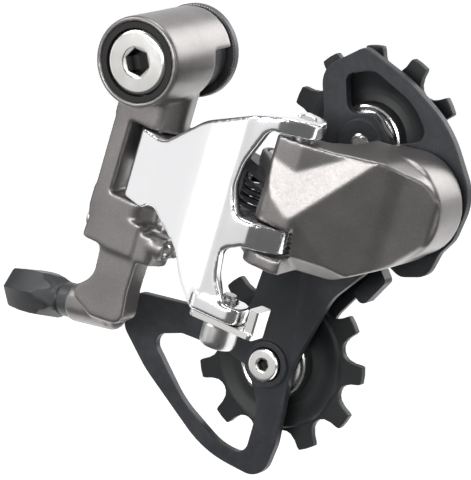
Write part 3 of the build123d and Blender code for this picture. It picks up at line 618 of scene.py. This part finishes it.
def joint(name: str) -> tuple[Vector, Vector]:
    """Returns a joint's place in millimetres and its direction."""
    found = next(j for j in frame["joints"] if j["name"] == name)
    return Vector(found["pos_m"]) * MILLIMETRES, Vector(found["axis"]).normalized()


class Bench:
    """Finishes pieces: mesh, material and body."""

    def __init__(self, shop: Paintshop) -> None:
        """Keeps the paintshop."""
        self.shop = shop

    def piece(
        self, name: str, form: Form, body: str, finish: Finish,
        replaces: Iterable[str] = (), crease: float = 38.0, even: bool = True,
    ) -> bpy.types.Object:
        """Turns a shape into a finished piece.

        Args:
            name: The piece's name.
            form: Its shape, in millimetres.
            body: The body that it moves with.
            finish: Its finish.
            replaces: The CAD nodes that it stands for.
            crease: Faces that meet at more than this many degrees keep a sharp edge.
            even: Whether large flat faces set the shading of the roundings beside them.

        Returns:
            The object.
        """
        bmesh.ops.remove_doubles(form.bm, verts=form.bm.verts, dist=0.0005)
        bmesh.ops.recalc_face_normals(form.bm, faces=form.bm.faces)
        form.scale(1 / MILLIMETRES)
        mesh = bpy.data.meshes.new(name)
        form.bm.to_mesh(mesh)
        form.bm.free()
        mesh.materials.append(self.shop.material(finish))
        mesh.shade_smooth()
        mesh.set_sharp_from_angle(angle=math.radians(crease))
        made = bpy.data.objects.new(name, mesh)
        bpy.context.scene.collection.objects.link(made)
        if even:
            even_light = made.modifiers.new("even light", "WEIGHTED_NORMAL")
            even_light.keep_sharp = True
            even_light.weight = 100
        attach(made, body)
        if replaces:
            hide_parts(*replaces)
        LOG.info("made %s, %d faces, on %s", name, len(mesh.polygons), body)
        return made


# ---------------------------------------------------------------- sub-assemblies


@dataclass
class MountingHardware:
    """The mounting bolt, its snap ring and the stopper plate behind the hanger."""

    bench: Bench
    head_radius: float = 8.8
    head_depth: float = 3.0
    recess_radius: float = 4.25
    recess_depth: float = 0.5
    socket_across: float = 6.5
    socket_depth: float = 3.4
    bolt_steps: int = 96
    bolt_roll: float = 12.0
    shank_radius: float = 5.85
    thread_radius: float = 5.0
    serrations: int = 70
    serration_depth: float = 0.35
    ring_width: float = 1.0
    serrated: tuple[float, float] = (-150.0, 110.0)

    def bolt(self) -> None:
        """Builds the bolt with its flat head, six-sided socket and threaded end."""
        low, high = (MILLIMETRES * c.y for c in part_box("mounting_bolt"))
        head, rim = self.head_radius, 0.8
        length = high - low
        profile = [
            (self.recess_radius, length), (head - rim - 0.5, length), (head - rim, length - 0.12),
            (head - 0.25, length - 0.55), (head, length - 1.0), (head, length - self.head_depth + 0.3),
            (head - 0.3, length - self.head_depth), (self.shank_radius, length - self.head_depth - 0.2),
            (self.shank_radius, high + 0.4), (self.shank_radius - 0.5, high + 0.05),
            (self.thread_radius - 0.55, high - 0.3), (self.thread_radius - 0.55, 0.8),
            (self.thread_radius - 1.2, 0.0), (2.2, 0.0), (2.0, 2.5), (0.0, 3.0),
        ]
        form = Form().turned(profile, self.bolt_steps)
        form.socket(
            self.recess_radius, self.socket_across, length, self.socket_depth, self.recess_depth,
            self.bolt_steps)
        form.thread(self.thread_radius, 1.0, high - 1.2)
        form.move(look_along(Vector((0, high, 0)), Vector((0, -1, 0)), self.bolt_roll))
        self.bench.piece("mounting_bolt_turned", form, "mount", BRIGHT_STEEL, ["mounting_bolt"], 30)

    def stopper(self) -> None:
        """Builds the dark stopper plate and the serrated bright ring on its rim."""
        plate = Form.of_node("stopper_plate").rounded(0.3, 35, 2)
        self.bench.piece("stopper_plate_pressed", plate, "stopper", DARK_ALLOY, ["stopper_plate"])
        low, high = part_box("stopper_plate")
        outer, front = high.x * MILLIMETRES - 0.02, low.y * MILLIMETRES
        form = Form()
        count = self.serrations * 2
        start, end = self.serrated
        edge, inner = outer - 0.1, outer - 1.5
        ring = [(inner, 0.0), (edge, 0.0), (edge, self.ring_width), (inner, self.ring_width)]
        rows = []
        for index in range(count):
            turn = math.radians(start + (end - start) * index / (count - 1))
            dips = (0.0, *(self.serration_depth * (index % 2),) * 2, 0.0)
            rows.append([
                form.bm.verts.new(((r - dip) * math.cos(turn), rise, (r - dip) * math.sin(turn)))
                for (r, rise), dip in zip(ring, dips)])
        for first, second in zip(rows, rows[1:]):
            for a in range(4):
                b = (a + 1) % 4
                form.bm.faces.new((first[a], first[b], second[b], second[a]))
        form.bm.faces.new(rows[0])
        form.bm.faces.new(rows[-1][::-1])
        form.move(Matrix.Translation(Vector((0, front + 0.02, 0))))
        self.bench.piece("stopper_ring_serrated", form, "stopper", BRIGHT_STEEL, (), 30, False)

    def build(self) -> None:
        """Builds and dresses the group."""
        self.bolt()
        self.bench.shop.dress("snap_ring", STEEL)
        self.stopper()


@dataclass
class UpperKnuckle:
    """The upper knuckle with its spring, seal, screws and cable adjuster."""

    bench: Bench
    voxel: float = 0.42
    softening: int = 7
    grip_length: float = 19.2
    socket_depth: float = 8.0
    grip_roll: float = 10.0

    def casting(self) -> None:
        """Builds the cast body."""
        form = Form.of_node("b_knuckle_body", 0).cast(self.voxel, self.softening)
        self.bench.piece(
            "upper_knuckle_casting", form, "b_knuckle", SATIN_GREY, ["b_knuckle_body"], SOFT_CREASE, False)

    def grip(self) -> None:
        """Builds the adjuster's grip: six flats that end in points, hollows between them, and the socket."""
        place, axis = joint("barrel_adjuster_turn")
        mouth = Vector(next(m for m in frame["record"]["mounts"] if m["name"] == "housing_socket")["pos_m"])
        end = (mouth * MILLIMETRES - place).dot(axis) + self.socket_depth / 2 + 0.7
        rings = [
            (4.3, 4.3, 0.2, 0.2), (4.7, 4.7, 0.7, 0.7), (4.9, 5.15, 2.6, 1.3), (5.6, 5.5, 5.2, 2.4),
            (6.5, 5.62, 7.6, 4.0), (6.6, 5.66, 10.4, 9.6), (6.45, 5.55, 14.0, 14.0),
            (5.9, 5.1, 18.2, 18.2), (5.3, 4.6, 19.1, 19.1), (3.05, 3.05, 19.15, 19.15),
            (3.0, 3.0, 18.4, 18.4), (3.0, 3.0, 12.0, 12.0), (1.2, 1.2, 12.0, 12.0), (1.2, 1.2, 0.2, 0.2),
        ]
        form = Form()
        loops = []
        for corner, middle_r, corner_z, middle_z in rings:
            ring = bmesh.ops.create_circle(form.bm, segments=24, radius=1)["verts"]
            for index, vert in enumerate(ring):
                share = abs(index % 4 - 2) / 2
                turn = math.radians(15 * index)
                flat = middle_r / max(0.85, math.cos(math.radians(30 * share)))
                even = middle_r + (corner - middle_r) * share
                radius = flat if corner > middle_r * 1.1 and share < 1 else even
                height = middle_z + (corner_z - middle_z) * share
                vert.co = (radius * math.cos(turn), radius * math.sin(turn), height)
            loops.append([e for e in form.bm.edges if all(v in ring for v in e.verts)])
        for first, second in zip(loops, loops[1:] + loops[:1]):
            bmesh.ops.bridge_loops(form.bm, edges=[*first, *second])
        form.rounded(0.22, 24, 2)
        form.move(look_along(place + axis * (end - self.grip_length), axis, self.grip_roll))
        self.bench.piece("adjuster_grip_moulded", form, "adjuster", BLACK_PLASTIC, ["adjuster_grip"], 24)

    def build(self) -> None:
        """Builds and dresses the group."""
        self.casting()
        self.grip()
        dress = self.bench.shop.dress
        dress("b_seal_ring", SEAL_RUBBER)
        dress("b_bushing", BRONZE)
        dress("b_inner_cover", BLACK_PLASTIC)
        dress("b_spring", STEEL)
        dress("b_link_pins", STEEL)
        dress("b_tension_screw", STEEL)
        dress("high_limit_screw", STEEL)
        dress("low_limit_screw", STEEL)
        dress("adjuster_ring", BLACK_PLASTIC)
        dress("adjuster_bolt", STEEL)


@dataclass
class Parallelogram:
    """The outer and inner links, the return spring and the cable clamp."""

    bench: Bench
    voxel: float = 0.4
    softening: int = 12
    head_radius: float = 4.8
    head_length: float = 6.2

    def cable_bolt(self) -> None:
        """Builds the cable bolt: a polished cylindrical head with a six-sided socket, and its thread."""
        place, axis = joint("cable_bolt_turn")
        heights = [
            (v.co * MILLIMETRES - place).dot(axis) for v in frame["nodes"]["cable_fixing_bolt"].data.vertices]
        length, head, size = max(heights) - min(heights), self.head_length, self.head_radius
        form = Form().turned([
            (3.1, length), (size - 1.1, length), (size - 0.45, length - 0.25), (size - 0.12, length - 0.9),
            (size, length - 2.2), (size, length - head + 0.4), (size - 0.3, length - head),
            (2.05, length - head),
            (2.05, 0.5), (1.6, 0.0), (0.0, 0.0),
        ], 72)
        form.socket(3.1, 5.0, length, 3.0, 0.25, 72)
        form.thread(2.5, 0.6, length - head - 1.0, 0.8)
        form.move(look_along(place + axis * max(heights), -axis, 8))
        self.bench.piece("cable_bolt_turned", form, "clamp_bolt", STEEL, ["cable_fixing_bolt"], 30)

    def build(self) -> None:
        """Builds and dresses the group."""
        form = Form.of_node("outer_link", 0).cast(self.voxel, self.softening)
        self.bench.piece(
            "outer_link_forging", form, "outer_link", POLISHED_SILVER, ["outer_link"], SOFT_CREASE, False)
        inner = Form.of_node("inner_link").rounded(0.5, 35, 2)
        self.bench.piece("inner_link_forging", inner, "inner_link", DARK_ALLOY, ["inner_link"])
        clamp = Form.of_node("cable_clamp_plate").rounded(0.25, 35, 2)
        self.bench.piece("clamp_plate_pressed", clamp, "outer_link", BRIGHT_STEEL, ["cable_clamp_plate"])
        self.cable_bolt()
        self.bench.shop.dress("return_spring", BLACK_STEEL)


@dataclass
class LowerKnuckle:
    """The lower knuckle with the cage spring, its bush and its seal."""

    bench: Bench
    voxel: float = 0.42
    softening: int = 5

    def build(self) -> None:
        """Builds and dresses the group."""
        form = Form.of_node("p_knuckle_body", 0).cast(self.voxel, self.softening)
        self.bench.piece(
            "lower_knuckle_casting", form, "p_knuckle", SATIN_GREY, ["p_knuckle_body"], SOFT_CREASE, False)
        dress = self.bench.shop.dress
        dress("p_outer_pin", STEEL)
        dress("p_inner_pin", STEEL)
        dress("p_bushing", BRONZE)
        dress("p_spring", STEEL)
        dress("p_seal_ring", SEAL_RUBBER)


@dataclass
class PulleyCage:
    """The two cage plates, the axle, and both pulleys on their bolts."""

    bench: Bench
    plate_edge: float = 0.55
    teeth: int = 11
    tooth: tuple[tuple[float, float], ...] = (
        (-16.36, 24.7), (-10.9, 24.65), (-10.1, 23.8), (-9.1, 21.9), (-6.6, 20.1), (-3.4, 19.3),
        (0.0, 19.08), (3.4, 19.3), (6.6, 20.1), (9.1, 21.9), (10.1, 23.8), (10.9, 24.65))
    gap_angle: dict[str, float] = field(default_factory=lambda: {"guide": 7.6, "tension": 10.6})
    dish: tuple[tuple[float, float], ...] = (
        (4.46, -3.9), (9.1, -3.95), (9.6, -3.6), (10.2, -1.7), (12.4, -1.15), (15.0, -1.3), (17.0, -2.05),
        (17.9, -2.1), (18.5, -1.15), (18.5, 1.15), (17.9, 2.1), (17.0, 2.05), (15.0, 1.3), (12.4, 1.15),
        (10.2, 1.7), (9.6, 3.6), (9.1, 3.95), (4.46, 3.9), (4.46, -3.9))

    def pulley(self, name: str) -> None:
        """Builds a pulley: a dished resin wheel with square-tipped teeth."""
        at = middle(f"{name}_pulley")
        form = Form().wheel(self.teeth, self.tooth, -1.2, 1.2).rounded(0.3, 25, 2)
        form.join(Form().turned(self.dish, 96))
        form.move(look_along(at, Vector((0, -1, 0)), self.gap_angle[name]))
        self.bench.piece(
            f"{name}_pulley_moulded", form, f"{name}_wheel", PULLEY_BLACK, [f"{name}_pulley"], 30)

    def caps(self, name: str) -> None:
        """Builds a pulley's two pressed caps, each a ring with a rolled rim."""
        low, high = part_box(f"{name}_pulley_caps")
        at = middle(f"{name}_pulley_caps")
        half = (high.y - low.y) * MILLIMETRES / 2
        form = Form()
        for side in (-1, 1):
            cap = Form().turned([
                (4.5, half - 0.15), (5.2, half - 0.02), (7.2, half - 0.02), (8.0, half - 0.3),
                (8.7, half - 0.3), (9.2, half - 0.02), (9.7, half - 0.25), (9.75, half - 0.75),
                (4.5, half - 0.75), (4.5, half - 0.15),
            ], 80)
            form.join(cap.move(look_along(at, Vector((0, side, 0)))))
        self.bench.piece(
            f"{name}_pulley_caps_pressed", form, "cage", BRIGHT_STEEL, [f"{name}_pulley_caps"], 40)

    def bolts(self) -> None:
        """Builds the two pulley bolts, each with a six-sided socket in its head."""
        for name, away, roll in (("guide", 1, 0), ("tension", -1, 20)):
            low, high = (c.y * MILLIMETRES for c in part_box(f"{name}_pulley_bolt"))
            at = middle(f"{name}_pulley_bolt")
            length = high - low
            head = 2.4 if away < 0 else 2.2
            form = Form().turned([
                (2.1, length), (3.7, length), (4.15, length - 0.15), (4.38, length - 0.5),
                (4.38, length - head + 0.2), (4.2, length - head), (2.15, length - head), (2.15, 0.45),
                (1.7, 0.0), (0.0, 0.0),
            ], 72)
            form.socket(2.1, 3.0, length, 1.5, 0.25, 72)
            form.thread(2.5, 0.6, 7.0, 0.8)
            start = low if away > 0 else high
            form.move(look_along(Vector((at.x, start, at.z)), Vector((0, away, 0)), roll))
            self.bench.piece(
                f"{name}_pulley_bolt_turned", form, "cage", BRIGHT_STEEL, [f"{name}_pulley_bolt"], 30)

    def plates(self) -> None:
        """Builds both plates with their broken edges."""
        outer = Form.of_node("cage_outer_plate").rounded(self.plate_edge, 40, 3)
        self.bench.piece("outer_plate_blanked", outer, "cage", PLATE_CHARCOAL, ["cage_outer_plate"], 25)
        inner = Form.of_node("cage_inner_plate").rounded(0.35, 40, 2)
        self.bench.piece("inner_plate_blanked", inner, "cage", PLATE_CHARCOAL, ["cage_inner_plate"], 25)

    def build(self) -> None:
        """Builds and dresses the group."""
        self.plates()
        dress = self.bench.shop.dress
        dress("p_axle", STEEL)
        dress("cage_stop_pin", STEEL)
        self.bolts()
        for name in ("guide", "tension"):
            self.pulley(name)
            self.caps(name)
            dress(f"{name}_pulley_bush", STEEL)


# ---------------------------------------------------------------- studio


Softbox = tuple[tuple[float, float, float], tuple[float, float], float]  # place, size in millimetres, watts


@dataclass
class Studio:
    """A pale sweep, soft lights and the camera."""

    turn: float = 29.5
    rise: float = 8.7
    aim: tuple[float, float, float] = (11.65, -2.15, -49.68)
    distance: float = 1500.0
    view_height: float = 126.3
    floor_gap: float = 260.0
    floor_front: float = 60.0
    floor_side: float = 2500.0
    floor_back: float = 1700.0
    floor_bend: float = 500.0
    backdrop: float = 3000.0
    room: float = 0.12
    lights: dict[str, Softbox] = field(default_factory=lambda: {
        "front": ((60, -820, 120), (800, 200), 5.6),
        "fill": ((-440, -775, 60), (1000, 1000), 1.9),
        "left": ((-900, -330, -40), (620, 620), 1.0),
        "key": ((-520, -420, 620), (480, 480), 4.6),
        "top": ((120, 60, 800), (520, 520), 5.0),
        "side": ((900, -160, 220), (300, 620), 2.2),
        "rim": ((300, 800, 260), (500, 500), 3.0),
    })

    def sweep(self) -> None:
        """Builds the floor and backdrop as one curved sheet."""
        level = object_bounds()[0].z * MILLIMETRES - self.floor_gap
        bm = bmesh.new()
        flat, bend = self.floor_back, self.floor_bend
        points = [(-self.floor_front, level), (flat, level)]
        points += [(flat + bend * math.sin(a), level + bend - bend * math.cos(a))
                   for a in (math.radians(step * 7.5) for step in range(1, 13))]
        points += [(flat + bend, level + self.backdrop)]
        verts = [bm.verts.new((-self.floor_side, y, z)) for y, z in points]
        edges = [bm.edges.new(pair) for pair in zip(verts, verts[1:])]
        wide = bmesh.ops.extrude_edge_only(bm, edges=edges)["geom"]
        far = [v for v in wide if isinstance(v, bmesh.types.BMVert)]
        bmesh.ops.translate(bm, vec=(2 * self.floor_side, 0, 0), verts=far)
        bmesh.ops.recalc_face_normals(bm, faces=bm.faces)
        bmesh.ops.scale(bm, vec=(0.001, 0.001, 0.001), verts=bm.verts)
        mesh = bpy.data.meshes.new("sweep")
        bm.to_mesh(mesh)
        bm.free()
        mesh.shade_smooth()
        n = NodeTree("paper sweep")
        tone = n.spread(n.noise(n.place(), 0.004, 2.0), 0.3, 0.7, 0.0, 1.0)
        n.set("Base Color", n.blend(tone, (0.93, 0.93, 0.93), (0.96, 0.96, 0.96)))
        n.set("Roughness", 0.9)
        n.set("Emission Color", (1.0, 1.0, 1.0, 1.0))
        n.set("Emission Strength", 0.6)
        mesh.materials.append(n.material)
        floor = bpy.data.objects.new("sweep", mesh)
        bpy.context.scene.collection.objects.link(floor)
        floor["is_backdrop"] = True

    def lamps(self) -> None:
        """Hangs the soft lights, each turned to the object, and sets the room's light."""
        target = Vector(self.aim) / MILLIMETRES
        for name, (place, size, power) in self.lights.items():
            data = bpy.data.lights.new(name, "AREA")
            data.shape = "RECTANGLE"
            data.size, data.size_y = (side / MILLIMETRES for side in size)
            data.energy = power
            lamp = bpy.data.objects.new(name, data)
            bpy.context.scene.collection.objects.link(lamp)
            at = Vector(place) / MILLIMETRES
            turn = (target - at).to_track_quat("-Z", "Y").to_matrix().to_4x4()
            lamp.matrix_world = Matrix.Translation(at) @ turn
        world = bpy.data.worlds.new("room")
        world.use_nodes = True
        tree = world.node_tree
        path = tree.nodes.new("ShaderNodeLightPath")
        strength = tree.nodes.new("ShaderNodeMapRange")
        strength.inputs["To Min"].default_value = self.room
        tree.links.new(path.outputs["Is Camera Ray"], strength.inputs["Value"])
        sky = tree.nodes["Background"]
        sky.inputs["Color"].default_value = (1.0, 1.0, 1.0, 1.0)
        tree.links.new(strength.outputs[0], sky.inputs["Strength"])
        bpy.context.scene.world = world

    def camera(self) -> None:
        """Sets the camera."""
        turn, rise = math.radians(self.turn), math.radians(self.rise)
        away = Vector((math.sin(turn) * math.cos(rise), -math.cos(turn) * math.cos(rise), math.sin(rise)))
        data = bpy.data.cameras.new("camera")
        data.lens = data.sensor_width * self.distance / self.view_height
        data.clip_start = 0.05
        data.clip_end = 30.0
        camera = bpy.data.objects.new("camera", data)
        bpy.context.scene.collection.objects.link(camera)
        at = (Vector(self.aim) + away * self.distance) / MILLIMETRES
        camera.matrix_world = Matrix.Translation(at) @ (-away).to_track_quat("-Z", "Y").to_matrix().to_4x4()
        bpy.context.scene.camera = camera
        bpy.context.scene.view_settings.view_transform = "Standard"

    def build(self) -> None:
        """Builds the sweep, the lights and the camera."""
        self.sweep()
        self.lamps()
        self.camera()


def main() -> None:
    """Builds the derailleur and its studio."""
    logging.basicConfig(level=logging.INFO, format="%(name)s: %(message)s")
    bench = Bench(Paintshop())
    for group in (MountingHardware, UpperKnuckle, Parallelogram, LowerKnuckle, PulleyCage):
        LOG.info("building %s", group.__name__)
        group(bench).build()
    Studio().build()


if __name__ == "__main__":
    main()
